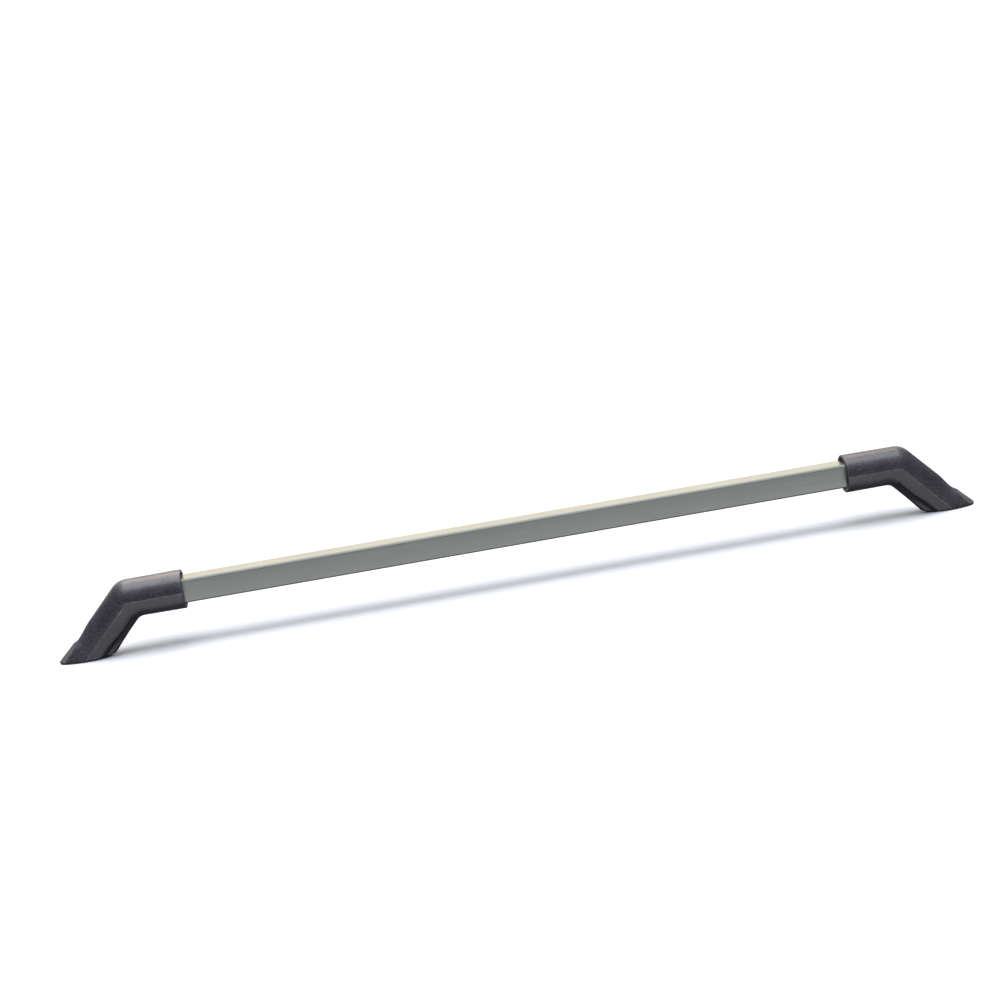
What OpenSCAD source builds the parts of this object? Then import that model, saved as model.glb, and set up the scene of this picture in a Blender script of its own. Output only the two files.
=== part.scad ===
// Bed cargo bar: one square aluminium tube carried between two moulded end
// fittings. Each fitting is a socket round the tube, a leg that slopes down and
// outwards, and a flat oval foot on a rubber pad.
// X runs along the bar and Z is up. The origin is under the middle of the bar,
// at the level that the two foot pads stand on.

/* [Bar] */
// Width and height of the square tube
bar_w = 38; // [36:0.5:40]
// Radius of the tube's four long corners
bar_corner_r = 4; // [3.5:0.5:6]
// Wall thickness of the tube
bar_wall = 2.5; // [2:0.1:3]
// Length of the tube
bar_len = 1177; // [800:1:1500]
// Height of the tube's centre line above the ground
bar_axis_z = 86; // [84:1:92]

/* [Socket] */
// Length of tube held in each socket
grip_len = 62; // [58:1:64]
// Length of the socket from its mouth to the elbow
socket_len = 86; // [84:1:92]
// Outer radius of the socket at the elbow
socket_r = 30; // [30:0.1:32]
// Outer radius of the socket at its mouth
mouth_r = 30.5; // [30.5:0.1:33]
// Radius of the round recess in the mouth
recess_r = 26; // [25.5:0.1:28]
// Depth of the round recess in the mouth
recess_depth = 3; // [2:0.5:8]
// Gap between the tube and its square hole
tube_gap = 0.2; // [0.1:0.05:0.4]

/* [Leg and foot] */
// Horizontal distance from the elbow to the middle of the foot
leg_reach = 80; // [76:1:84]
// Slope of the leg below the bar, in degrees
leg_angle = 45.75; // [44:0.25:47]
// Half the length of the foot
foot_half_l = 44.5; // [43:0.5:46]
// Half the width of the foot
foot_half_w = 16; // [15:0.5:20]
// Height of the wider shoe round the foot
shoe_h = 24; // [15:1:30]
// Wall round the hollow core of the leg
leg_wall = 4.5; // [4:0.1:5]

/* [Grip recess] */
// Distance down the leg from the elbow to the top of the recess
grip_recess_s = 14; // [12:1:24]
// Distance of the recess lip from the leg's centre line
grip_recess_n = 20; // [19.5:0.5:24]
// Half the thickness of the rib between the two recesses
rib_half_t = 9; // [8:0.5:13]

/* [Hardware] */
// Diameter of the screws that hold the tube
screw_d = 6; // [6:0.5:6]
// Length of those screws under the head
screw_len = 14; // [14:1:16]
// Distance between the two screws in a socket
screw_pitch = 27; // [24:1:28]
// Thickness of the washers under the screw heads
washer_t = 1.6; // [1.2:0.1:1.8]
// Thickness of the nut plate inside the tube
nut_plate_t = 5; // [4:0.5:6]
// Distance between the two threaded inserts in a foot
insert_pitch = 38; // [34:1:40]
// Outer diameter of the threaded inserts
insert_d = 11; // [10:0.5:12]
// Length of the threaded inserts
insert_len = 13; // [10:1:15]
// Tapping diameter of the thread in the inserts
insert_bore_d = 6.8; // [6.6:0.1:7]

/* [Foot pad] */
// Thickness of the rubber pad under each foot
pad_t = 2; // [2:0.5:3]
// Distance of the pad's edge inside the sides and the toe of the foot
pad_inset = 1.5; // [1:0.5:3]
// Distance of the pad's edge inside the rounded heel of the foot
pad_heel_inset = 8; // [6:0.5:9]
// Diameter of the bolt holes through the pad
pad_hole_d = 12; // [11.5:0.5:14]

/* [Hidden] */
$fn = 64;

LEFT = -1;
RIGHT = 1;
ROUND = 32;             // sides of the curves inside a hull
CUT = 1;                // how far a cutting tool runs past a face
FAR = 60;               // reach of a cutting tool that must leave the part

mouth_x = bar_len / 2 - grip_len;
elbow_x = mouth_x + socket_len;
foot_x = elbow_x + leg_reach;
bar_bottom_z = bar_axis_z - bar_w / 2;
bar_floor_z = bar_bottom_z + bar_wall;      // inside face of the tube's bottom wall

// Tube screws: their heads lie in deep seats under the socket
screw_inset = 18;                           // from the mouth to the inner screw
screw_x_inner = mouth_x + screw_inset;
screw_x_outer = screw_x_inner + screw_pitch;
screw_clear_r = 3.3;
seat_r = 6.5;
seat_wall = 2.8;                            // moulding left between seat and tube
seat_z = bar_bottom_z - tube_gap - seat_wall;
head_r = 5.25;
head_h = 3.3;
head_edge_h = 1;
head_crown_r = 3.25;
hex_across = 4;
hex_depth = 2;
washer_r = 6;
nut_plate_l = 50;
nut_plate_w = 25;
nut_plate_x = (screw_x_inner + screw_x_outer) / 2;

// Plug in the end of the tube
plug_len = 12.5;
plug_gap = 0.1;
plug_wall = 3;
plug_slot_gap = 0.2;
plug_pocket_r = 2;
plug_x = bar_len / 2 - plug_len;

// Threaded inserts in the foot
boss_r = 8.5;
boss_top_z = 70;
bolt_room_r = 4.5;
bolt_room_len = 7;
groove_w = 2;
groove_depth = 0.6;

// Outside of the leg, a little inside the socket and the shoe where it meets them
elbow_r = socket_r - 0.2;
ankle_half_l = foot_half_l - 2;
ankle_half_w = foot_half_w - 1;
ankle_slab = 2;

// Shoe: a slab on the ground and a thinner, shorter one at its top
shoe_slab = 3;
shoe_top_slab = 1;
shoe_top_half_l = foot_half_l - 2.5;

// Hollow core of the leg
core_top_r = 19;
core_top_dx = 12;
core_top_dz = 13;
core_end_wall = 6.3;

// Soft corner at the top of the grip recess
recess_end_r = 6;

module on_side(side) {
    if (side == RIGHT) children();
    else mirror([1, 0, 0]) children();
}

// A square with true round corners
module rounded_square(w, r) {
    square([w - 2 * r, w], center = true);
    square([w, w - 2 * r], center = true);
    for (sx = [-1, 1]) for (sy = [-1, 1])
        translate([sx * (w / 2 - r), sy * (w / 2 - r)]) circle(r = r);
}

// A square bar along +X from x, round the tube's centre line
module square_rod(x, len, w, r) {
    translate([x, 0, bar_axis_z]) rotate([90, 0, 90])
        linear_extrude(height = len) rounded_square(w, r);
}

// An oval lying flat, with half-length a and half-width b
module oval(a, b) {
    polygon([for (i = [0 : $fn - 1]) [a * cos(360 * i / $fn), b * sin(360 * i / $fn)]]);
}

// Geometry drawn down the leg: +X along it, +Z to its outer side
module along_leg() {
    translate([elbow_x, 0, bar_axis_z]) rotate([0, leg_angle, 0]) children();
}

// ---- End fitting ----

module socket_body() {
    translate([mouth_x, 0, bar_axis_z]) rotate([0, 90, 0])
        cylinder(r1 = mouth_r, r2 = socket_r, h = socket_len);
}

module leg_body() {
    hull() {
        translate([elbow_x, 0, bar_axis_z]) sphere(r = elbow_r, $fn = ROUND);
        translate([foot_x, 0, pad_t]) linear_extrude(height = ankle_slab)
            oval(ankle_half_l, ankle_half_w, $fn = ROUND);
    }
}

// The foot swells a little above the ground, most of all at the toe
module shoe_body() {
    slope_dx = shoe_h / tan(leg_angle);
    hull() {
        translate([foot_x, 0, pad_t]) linear_extrude(height = shoe_slab)
            oval(foot_half_l, foot_half_w, $fn = ROUND);
        translate([foot_x - slope_dx, 0, pad_t + shoe_h]) linear_extrude(height = shoe_top_slab)
            oval(shoe_top_half_l, foot_half_w, $fn = ROUND);
    }
}

module leg_core() {
    difference() {
        hull() {
            translate([elbow_x + core_top_dx, 0, bar_axis_z - core_top_dz])
                sphere(r = core_top_r, $fn = ROUND);
            translate([foot_x, 0, pad_t - CUT]) linear_extrude(height = 2 * CUT)
                oval(foot_half_l - core_end_wall, foot_half_w - leg_wall, $fn = ROUND);
        }
        for (dx = [-1, 1])
            translate([foot_x + dx * insert_pitch / 2, 0, pad_t - 2 * CUT])
                cylinder(r = boss_r, h = boss_top_z);
    }
}

// Long recess beside the rib on the inner side of the leg, one on each face
module grip_recess(face) {
    along_leg()
        translate([0, face > 0 ? FAR : -rib_half_t, 0]) rotate([90, 0, 0])
            linear_extrude(height = FAR - rib_half_t) {
                translate([grip_recess_s + recess_end_r, -grip_recess_n - FAR])
                    square([3 * FAR, FAR]);
                translate([grip_recess_s, -grip_recess_n - FAR - recess_end_r])
                    square([2 * FAR, FAR]);
                translate([grip_recess_s + recess_end_r, -grip_recess_n - recess_end_r])
                    circle(r = recess_end_r);
            }
}

module screw_seat(x) {
    translate([x, 0, seat_z - FAR]) cylinder(r = seat_r, h = FAR);
    translate([x, 0, seat_z - CUT]) cylinder(r = screw_clear_r, h = seat_wall + 2 * CUT);
}

module insert_hole(x) {
    translate([x, 0, pad_t - CUT]) cylinder(r = insert_d / 2, h = insert_len + CUT);
    translate([x, 0, pad_t]) cylinder(r = bolt_room_r, h = insert_len + bolt_room_len);
}

module end_fitting() {
    difference() {
        union() {
            socket_body();
            leg_body();
            shoe_body();
        }
        square_rod(mouth_x - CUT, grip_len + CUT + tube_gap, bar_w + 2 * tube_gap,
            bar_corner_r + tube_gap);
        translate([mouth_x - CUT, 0, bar_axis_z]) rotate([0, 90, 0])
            cylinder(r = recess_r, h = recess_depth + CUT);
        screw_seat(screw_x_inner);
        screw_seat(screw_x_outer);
        leg_core();
        grip_recess(1);
        grip_recess(-1);
        insert_hole(foot_x - insert_pitch / 2);
        insert_hole(foot_x + insert_pitch / 2);
    }
}

module left_end_fitting() { color([0.16, 0.15, 0.17]) on_side(LEFT) end_fitting(); }
module right_end_fitting() { color([0.16, 0.15, 0.17]) on_side(RIGHT) end_fitting(); }

// ---- Bar ----

module bar_tube() {
    color([0.62, 0.65, 0.61]) difference() {
        square_rod(-bar_len / 2, bar_len, bar_w, bar_corner_r);
        square_rod(-bar_len / 2 - CUT, bar_len + 2 * CUT, bar_w - 2 * bar_wall,
            bar_corner_r - bar_wall);
        for (side = [LEFT, RIGHT]) for (x = [screw_x_inner, screw_x_outer])
            translate([side * x, 0, bar_bottom_z - CUT])
                cylinder(r = screw_clear_r, h = bar_wall + 2 * CUT);
    }
}

// ---- Foot pads ----

module foot_pad() {
    half_l = foot_half_l - (pad_inset + pad_heel_inset) / 2;
    middle_x = foot_x + (pad_heel_inset - pad_inset) / 2;
    difference() {
        translate([middle_x, 0, 0]) linear_extrude(height = pad_t)
            oval(half_l, foot_half_w - pad_inset);
        for (dx = [-1, 1])
            translate([foot_x + dx * insert_pitch / 2, 0, -CUT])
                cylinder(r = pad_hole_d / 2, h = pad_t + 2 * CUT);
    }
}

module left_foot_pad() { color([0.08, 0.08, 0.08]) on_side(LEFT) foot_pad(); }
module right_foot_pad() { color([0.08, 0.08, 0.08]) on_side(RIGHT) foot_pad(); }

// ---- Plugs in the tube's ends, which also locate the nut plates ----

module tube_plug() {
    plug_w = bar_w - 2 * bar_wall - 2 * plug_gap;
    slot_len = nut_plate_x + nut_plate_l / 2 - plug_x + plug_slot_gap;
    slot_w = nut_plate_w + 2 * plug_slot_gap;
    slot_h = nut_plate_t + plug_slot_gap;
    difference() {
        square_rod(plug_x, plug_len, plug_w, bar_corner_r - bar_wall - plug_gap);
        translate([0, 0, slot_h / 2])
            square_rod(plug_x - CUT, plug_len - plug_wall + CUT,
                plug_w - 2 * plug_wall - slot_h, plug_pocket_r);
        translate([plug_x - CUT, -slot_w / 2, bar_floor_z - CUT])
            cube([slot_len + CUT, slot_w, slot_h + CUT]);
    }
}

module left_tube_plug() { color([0.2, 0.2, 0.2]) on_side(LEFT) tube_plug(); }
module right_tube_plug() { color([0.2, 0.2, 0.2]) on_side(RIGHT) tube_plug(); }

// ---- Nut plates ----

module nut_plate() {
    difference() {
        translate([nut_plate_x - nut_plate_l / 2, -nut_plate_w / 2, bar_floor_z])
            cube([nut_plate_l, nut_plate_w, nut_plate_t]);
        for (x = [screw_x_inner, screw_x_outer])
            translate([x, 0, bar_floor_z - CUT])
                cylinder(r = screw_d / 2, h = nut_plate_t + 2 * CUT);
    }
}

module left_nut_plate() { color([0.7, 0.7, 0.68]) on_side(LEFT) nut_plate(); }
module right_nut_plate() { color([0.7, 0.7, 0.68]) on_side(RIGHT) nut_plate(); }

// ---- Button-head screws, driven up from under the socket ----

module bar_screw(x) {
    head_top_z = seat_z - washer_t;
    translate([x, 0, head_top_z]) difference() {
        union() {
            cylinder(r = screw_d / 2, h = screw_len);
            translate([0, 0, -head_edge_h]) cylinder(r = head_r, h = head_edge_h);
            translate([0, 0, -head_h])
                cylinder(r1 = head_crown_r, r2 = head_r, h = head_h - head_edge_h);
        }
        translate([0, 0, -head_h - CUT])
            cylinder(d = hex_across / cos(30), h = hex_depth + CUT, $fn = 6);
    }
}

module left_inner_bar_screw() { color("silver") on_side(LEFT) bar_screw(screw_x_inner); }
module left_outer_bar_screw() { color("silver") on_side(LEFT) bar_screw(screw_x_outer); }
module right_inner_bar_screw() { color("silver") on_side(RIGHT) bar_screw(screw_x_inner); }
module right_outer_bar_screw() { color("silver") on_side(RIGHT) bar_screw(screw_x_outer); }

// ---- Washers between the screw heads and the moulding ----

module screw_washer(x) {
    translate([x, 0, seat_z - washer_t]) difference() {
        cylinder(r = washer_r, h = washer_t);
        translate([0, 0, -CUT]) cylinder(r = screw_clear_r, h = washer_t + 2 * CUT);
    }
}

module left_inner_washer() { color("silver") on_side(LEFT) screw_washer(screw_x_inner); }
module left_outer_washer() { color("silver") on_side(LEFT) screw_washer(screw_x_outer); }
module right_inner_washer() { color("silver") on_side(RIGHT) screw_washer(screw_x_inner); }
module right_outer_washer() { color("silver") on_side(RIGHT) screw_washer(screw_x_outer); }

// ---- Threaded inserts moulded into the feet ----

module foot_insert(x) {
    groove_r = insert_d / 2 - groove_depth;
    difference() {
        translate([x, 0, pad_t]) cylinder(d = insert_d, h = insert_len);
        translate([x, 0, pad_t - CUT]) cylinder(d = insert_bore_d, h = insert_len + 2 * CUT);
        translate([x, 0, pad_t + (insert_len - groove_w) / 2]) difference() {
            cylinder(d = insert_d + 2 * CUT, h = groove_w);
            translate([0, 0, -CUT]) cylinder(r = groove_r, h = groove_w + 2 * CUT);
        }
    }
}

module left_heel_insert() { color("gold") on_side(LEFT) foot_insert(foot_x - insert_pitch / 2); }
module left_toe_insert() { color("gold") on_side(LEFT) foot_insert(foot_x + insert_pitch / 2); }
module right_heel_insert() { color("gold") on_side(RIGHT) foot_insert(foot_x - insert_pitch / 2); }
module right_toe_insert() { color("gold") on_side(RIGHT) foot_insert(foot_x + insert_pitch / 2); }

bar_tube();
left_end_fitting();
right_end_fitting();
left_foot_pad();
right_foot_pad();
left_tube_plug();
right_tube_plug();
left_nut_plate();
right_nut_plate();
left_inner_bar_screw();
left_outer_bar_screw();
right_inner_bar_screw();
right_outer_bar_screw();
left_inner_washer();
left_outer_washer();
right_inner_washer();
right_outer_washer();
left_heel_insert();
left_toe_insert();
right_heel_insert();
right_toe_insert();
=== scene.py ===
"""Looks for the bed cargo bar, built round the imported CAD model.

Shapes are worked out in millimetres and become metres when a mesh is made.
The end fittings and their pads have blended corners, so each is written as a signed
distance (negative inside) and turned into quads; everything else is built from rings
of points. Both ends of the bar are the same, so the right end is built and the left
end is its mirror image.
"""
import math

import bmesh
import bpy
import numpy as np
from mathutils import Matrix, Vector


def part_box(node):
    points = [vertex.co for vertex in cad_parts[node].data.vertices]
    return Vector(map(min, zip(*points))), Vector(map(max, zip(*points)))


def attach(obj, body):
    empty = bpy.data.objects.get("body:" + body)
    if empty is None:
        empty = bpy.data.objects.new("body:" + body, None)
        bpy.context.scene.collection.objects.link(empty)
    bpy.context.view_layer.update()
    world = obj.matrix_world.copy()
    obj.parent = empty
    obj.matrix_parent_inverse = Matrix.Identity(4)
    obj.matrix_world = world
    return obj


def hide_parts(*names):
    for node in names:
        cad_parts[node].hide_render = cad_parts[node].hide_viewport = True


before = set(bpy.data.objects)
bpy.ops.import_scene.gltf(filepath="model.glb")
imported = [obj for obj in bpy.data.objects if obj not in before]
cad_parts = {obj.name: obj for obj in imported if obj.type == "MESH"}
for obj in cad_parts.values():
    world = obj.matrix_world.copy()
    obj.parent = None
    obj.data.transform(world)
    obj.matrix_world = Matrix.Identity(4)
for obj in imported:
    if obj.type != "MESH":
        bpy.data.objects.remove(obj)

# What a new Blender file holds is removed, so that only the CAD model is left
for startup_object in ("Cube", "Light", "Camera"):
    if startup_object in bpy.data.objects:
        bpy.data.objects.remove(bpy.data.objects[startup_object])

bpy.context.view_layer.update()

MM = 0.001
SIDES = {"left": -1.0, "right": 1.0}


# ---- Driving sizes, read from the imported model, in millimetres ----

def node_box(name):
    """Lowest and highest corner of a CAD node in millimetres."""
    low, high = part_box(name)
    return np.array(low) / MM, np.array(high) / MM


TUBE_LO, TUBE_HI = node_box("bar_tube")
FIT_LO, FIT_HI = node_box("right_end_fitting")
PAD_LO, PAD_HI = node_box("right_foot_pad")
PLATE_LO = node_box("right_nut_plate")[0]
HEEL_LO, HEEL_HI = node_box("right_heel_insert")
TOE_LO, TOE_HI = node_box("right_toe_insert")
SCREW_LO, SCREW_HI = node_box("right_inner_bar_screw")
OUTER_LO, OUTER_HI = node_box("right_outer_bar_screw")
WASHER_LO, WASHER_HI = node_box("right_inner_washer")

BAR_HALF_W = (TUBE_HI[2] - TUBE_LO[2]) / 2
BAR_Z = (TUBE_HI[2] + TUBE_LO[2]) / 2
BAR_HALF_LEN = TUBE_HI[0]
BAR_CORNER_R = 4.0
BAR_WALL = PLATE_LO[2] - TUBE_LO[2]

MOUTH_X = FIT_LO[0]
MOUTH_R = FIT_HI[2] - BAR_Z
MOUTH_FLARE = 0.5            # how much wider the socket is at its mouth
SOCKET_R = MOUTH_R - MOUTH_FLARE
SOCKET_LEN = 86.0            # from the mouth to the elbow
ELBOW_X = MOUTH_X + SOCKET_LEN
LEG_ANGLE = math.radians(45.75)
TOE_X = FIT_HI[0]
SOLE_Z = PAD_HI[2]
PAD_INSET = 1.5              # from the edge of the foot to its pad
FOOT_HALF_W = (PAD_HI[1] - PAD_LO[1]) / 2 + PAD_INSET
SCREW_XS = ((SCREW_LO[0] + SCREW_HI[0]) / 2, (OUTER_LO[0] + OUTER_HI[0]) / 2)
SEAT_Z = WASHER_HI[2]
INSERT_XS = ((HEEL_LO[0] + HEEL_HI[0]) / 2, (TOE_LO[0] + TOE_HI[0]) / 2)
INSERT_R = (TOE_HI[0] - TOE_LO[0]) / 2
FOOT_X = (INSERT_XS[0] + INSERT_XS[1]) / 2
HEEL_X = 2 * FOOT_X - TOE_X
INSERT_TOP = TOE_HI[2]
INSERT_BORE_R = 3.4
INSERT_PITCH = 1.25          # thread of the inserts
SCREW_R = 3.0
SCREW_PITCH = 1.0            # thread of the tube screws
SCREW_HOLE_R = 3.3
SEAT_R = 6.5                 # pockets round the screw heads
PAD_HOLE_R = 6.0
PAD_STEP = 0.35  # size of the quads on a pad
PAD_ROOM = np.array([1.0, 1.0, 0.7])  # how far past the pad its grid goes
PAD_EDGE = 1.0
GROOVE_PITCH = 6.0           # grooves across the underside of a pad
GROOVE_HALF_W = 0.8
GROOVE_DEPTH = 0.7
GROOVE_EDGE = 0.3
GROOVE_RIM = 2.2             # plain rim round the grooves
GROOVE_CLEAR = 1.6           # plain ring round each bolt hole


# ---- Signed distance helpers ----

def smoothstep(a, b, x):
    """Rises smoothly from 0 at a to 1 at b."""
    t = np.clip((x - a) / (b - a), 0.0, 1.0)
    return t * t * (3.0 - 2.0 * t)


def gradual(change, x):
    """How much of a gradual change there is at x."""
    amount, start, end = change
    return amount * smoothstep(start, end, x)


def blend_min(a, b, k):
    """Union of a and b with a fillet about k wide where they meet."""
    h = np.maximum(k - np.abs(a - b), 0.0) / np.maximum(k, 1e-6)
    return np.minimum(a, b) - h * h * k / 4.0


def blend_max(a, b, k):
    """Intersection of a and b with the edge between them rounded, about k wide."""
    return -blend_min(-a, -b, k)


def cut(body, tool, k):
    """body less tool, with the new edge rounded."""
    return blend_max(body, -tool, k)


def disc(p, q, r):
    """A round rod of radius r, seen along its length."""
    return np.hypot(p, q) - r


def box2(p, q, half_p, half_q, r):
    """A rod of rectangular section with corners of radius r, seen along its length."""
    dp = np.abs(p) - (half_p - r)
    dq = np.abs(q) - (half_q - r)
    outside = np.hypot(np.maximum(dp, 0.0), np.maximum(dq, 0.0))
    return outside + np.minimum(np.maximum(dp, dq), 0.0) - r


def ellipse(p, q, half_p, half_q):
    """A rod of oval section, seen along its length."""
    u, v = p / half_p, q / half_q
    rho = np.sqrt(u * u + v * v) + 1e-9
    slope = np.sqrt((u / half_p) ** 2 + (v / half_q) ** 2) / rho + 1e-9
    return (rho - 1.0) / slope


# ---- The end fitting, right-hand end ----

LEG_COS, LEG_SIN = math.cos(LEG_ANGLE), math.sin(LEG_ANGLE)
LEG_LEN = (BAR_Z - SOLE_Z) / LEG_SIN  # down the leg's centre line to the sole
EDGE = 1.4                   # rounding of moulded edges
RECESS_LIP_N = 20.0          # from the leg's centre line to the recess lip
RECESS_TOP_S = 14.0          # from the elbow down to the recess
RECESS_CORNER_R = 3.0
RECESS_EDGE = 1.0            # rounding of the recess's rim at its top
RIB_HALF = 9.0               # half the rib left between the recesses
MOUTH_RECESS_R = 26.0
MOUTH_RECESS_DEPTH = 3.0
MOUTH_LIP = 2.0              # rounding of the mouth's inner edge
TUBE_GAP = 0.2
CORE_WALL = 4.5
CORE_TOP_S = 6.0             # from the elbow down to the core
CORE_CORNER = 4.0
RECESS_WALL = 3.5            # moulding left between the core and a recess
BOSS_R = 8.5                 # round each threaded insert
BOSS_FILLET = 7.0
BOLT_ROOM_R = 4.5            # room above the inserts for the tips of the bolts
BOLT_ROOM_H = 7.0
HEEL_SOLID_R = 20.0          # moulding left solid round the heel's corner
SOLE_EDGE = 2.0
PARTING_TURN = 0.24          # how sharply the surface turns in below the parting line
SOCKET_PARTING = 0.7         # the share of that turn that the socket has
PARTING_REACH = 10.0         # how far below the line that goes on
FACET_OUT = 0.547            # which way the toe's flat faces look
FACET_ASIDE = 0.630
FACET_UP = 0.552
FACET_RUNOUT = 0.05          # how fast they leave the shoe
FACET_EDGE = 0.6
TOE_ROUNDING = 0.9           # what the rounded edges take off the toe's tip
CORE_EDGE = 0.8
HOLE_EDGE = 0.6
SEAT_EDGE = 0.5
INSERT_EDGE = 0.4

# Changes that come in gradually: how much, and between which distances
WAIST = (-2.3, 66.0, 97.0)   # of the leg's outer side, down the leg
SHOE_STEP = (2.6, 98.0, 110.0)
SHOE_FLARE = (1.6, 110.0, 148.0)
SHOE_WIDER = (0.8, 96.0, 108.0)  # of each side of the leg
HEEL_FLARE = (2.8, 35.0, 120.0)  # of the leg's inner side
RECESS_RUNOUT = (8.0, 45.0, 85.0)  # of the rounding of the recess's rim
HEEL_EDGE = (2.0, FOOT_X - 20.0, FOOT_X - 40.0)  # of the rounding of the sole
ELBOW_FILLET = (6.0, 4.0, 24.0)  # of the fillet, from the elbow into its crook


def leg_coords(x, z):
    """Distance down the leg from the elbow, and distance to its outer side."""
    dx, dz = x - ELBOW_X, z - BAR_Z
    return dx * LEG_COS - dz * LEG_SIN, dx * LEG_SIN + dz * LEG_COS


def outer_reach(s):
    """Centre line of the leg to its outer side: a waist, then the flare of the shoe."""
    return SOCKET_R + gradual(WAIST, s) + gradual(SHOE_STEP, s) + gradual(SHOE_FLARE, s)


def inner_reach(s):
    """Centre line of the leg to its inner side: it flares a little towards the heel."""
    return SOCKET_R + gradual(HEEL_FLARE, s)


def half_width(s):
    """Half the leg's width across the bar: it narrows evenly to the foot."""
    t = np.clip(s / LEG_LEN, -0.2, 1.15)
    return SOCKET_R + (FOOT_HALF_W - SOCKET_R) * t + gradual(SHOE_WIDER, s)


def under_parting(n):
    """How far the surface turns in below the parting line, at a distance n above it."""
    below = np.maximum(-n, 0.0)
    return PARTING_TURN * below * np.exp(-below / PARTING_REACH)


def socket_shape(x, y, z):
    """The round socket, ended by a ball at the elbow."""
    dz = z - BAR_Z
    r = np.hypot(y, dz)
    taper = SOCKET_R + (MOUTH_R - SOCKET_R) * np.clip((ELBOW_X - x) / (ELBOW_X - MOUTH_X), 0, 1)
    rod = r - taper + SOCKET_PARTING * under_parting(dz) * np.abs(y) / SOCKET_R
    past = np.maximum(x - ELBOW_X, 0.0)
    ball = np.sqrt(past * past + r * r) - SOCKET_R
    return np.where(x > ELBOW_X, ball, rod)


def leg_shape(x, y, z):
    """The sloping leg, oval in section, started by a ball at the elbow."""
    s, n = leg_coords(x, z)
    reach = np.where(n > 0, outer_reach(s), inner_reach(s))
    wide = half_width(s)
    rod = ellipse(n, y, reach, wide) + under_parting(n) * np.abs(y) / wide
    before = np.minimum(s, 0.0)
    ball = np.sqrt(before * before + n * n + y * y) - SOCKET_R
    return np.where(s < 0, ball, rod)


def recess_shape(x, y, z):
    """The hollow beside the rib on the leg's inner side; one on the front, one on the back."""
    s, n = leg_coords(x, z)
    sides = np.stack([n + RECESS_LIP_N, RIB_HALF - np.abs(y), RECESS_TOP_S - s])
    inside = np.maximum(sides + RECESS_CORNER_R, 0.0)
    outside = np.minimum(sides.max(0) + RECESS_CORNER_R, 0.0)
    return np.sqrt((inside ** 2).sum(0)) + outside - RECESS_CORNER_R


def toe_facets(x, y, z):
    """Two flat faces that meet in the toe's upper edge and run out up the shoe."""
    s = leg_coords(x, z)[0]
    flat = (x - TOE_X) * FACET_OUT + np.abs(y) * FACET_ASIDE + (z - SOLE_Z) * FACET_UP
    return flat - TOE_ROUNDING - FACET_RUNOUT * (LEG_LEN + SOCKET_R - s)


def outside_shape(x, y, z):
    """The whole fitting before anything is cut into it."""
    socket = socket_shape(x, y, z)
    leg = leg_shape(x, y, z)
    # The fillet is only in the crook of the elbow
    crook = -((x - ELBOW_X) * math.sin(LEG_ANGLE / 2) + (z - BAR_Z) * math.cos(LEG_ANGLE / 2))
    return blend_min(socket, leg, gradual(ELBOW_FILLET, crook))


def core_shape(x, y, z, leg, recess):
    """The hollow inside the leg, open at the sole, with a boss round each insert."""
    s = leg_coords(x, z)[0]
    core = blend_max(leg + CORE_WALL, CORE_TOP_S - s, CORE_CORNER)
    core = np.maximum(core, HEEL_SOLID_R - np.hypot(x - HEEL_X, z - SOLE_Z))
    for ix in INSERT_XS:
        core = blend_max(core, BOSS_R - np.hypot(x - ix, y), BOSS_FILLET)
    return blend_max(core, RECESS_WALL - recess, CORE_CORNER)


def moulded_shape(x, y, z):
    """The moulding with its recesses and its core, before the holes."""
    leg = leg_shape(x, y, z)
    recess = recess_shape(x, y, z)
    s = leg_coords(x, z)[0]
    body = outside_shape(x, y, z)
    body = blend_max(body, toe_facets(x, y, z), FACET_EDGE)
    body = cut(body, recess, RECESS_EDGE + gradual(RECESS_RUNOUT, s))
    body = blend_max(body, SOLE_Z - z, SOLE_EDGE + gradual(HEEL_EDGE, x))
    body = blend_max(body, MOUTH_X - x, EDGE)
    return cut(body, core_shape(x, y, z, leg, recess), CORE_EDGE)


def fitting(x, y, z):
    """The whole end fitting: the moulding with the holes for the bar and the fixings."""
    body = moulded_shape(x, y, z)
    hole = np.maximum(box2(y, z - BAR_Z, BAR_HALF_W + TUBE_GAP, BAR_HALF_W + TUBE_GAP,
                           BAR_CORNER_R + TUBE_GAP), x - BAR_HALF_LEN - TUBE_GAP)
    mouth = np.maximum(disc(y, z - BAR_Z, MOUTH_RECESS_R), x - MOUTH_X - MOUTH_RECESS_DEPTH)
    body = cut(body, hole, HOLE_EDGE)
    body = cut(body, mouth, MOUTH_LIP)
    for sx in SCREW_XS:
        seat = np.maximum(disc(x - sx, y, SEAT_R), z - SEAT_Z)
        shank = np.maximum(disc(x - sx, y, SCREW_HOLE_R), z - BAR_Z)
        body = cut(cut(body, seat, SEAT_EDGE), shank, HOLE_EDGE)
    for ix in INSERT_XS:
        socket = np.maximum(disc(x - ix, y, INSERT_R), z - INSERT_TOP)
        room = np.maximum(disc(x - ix, y, BOLT_ROOM_R), z - INSERT_TOP - BOLT_ROOM_H)
        body = cut(cut(body, socket, INSERT_EDGE), room, INSERT_EDGE)
    return body


# ---- Distance to mesh ----

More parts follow.
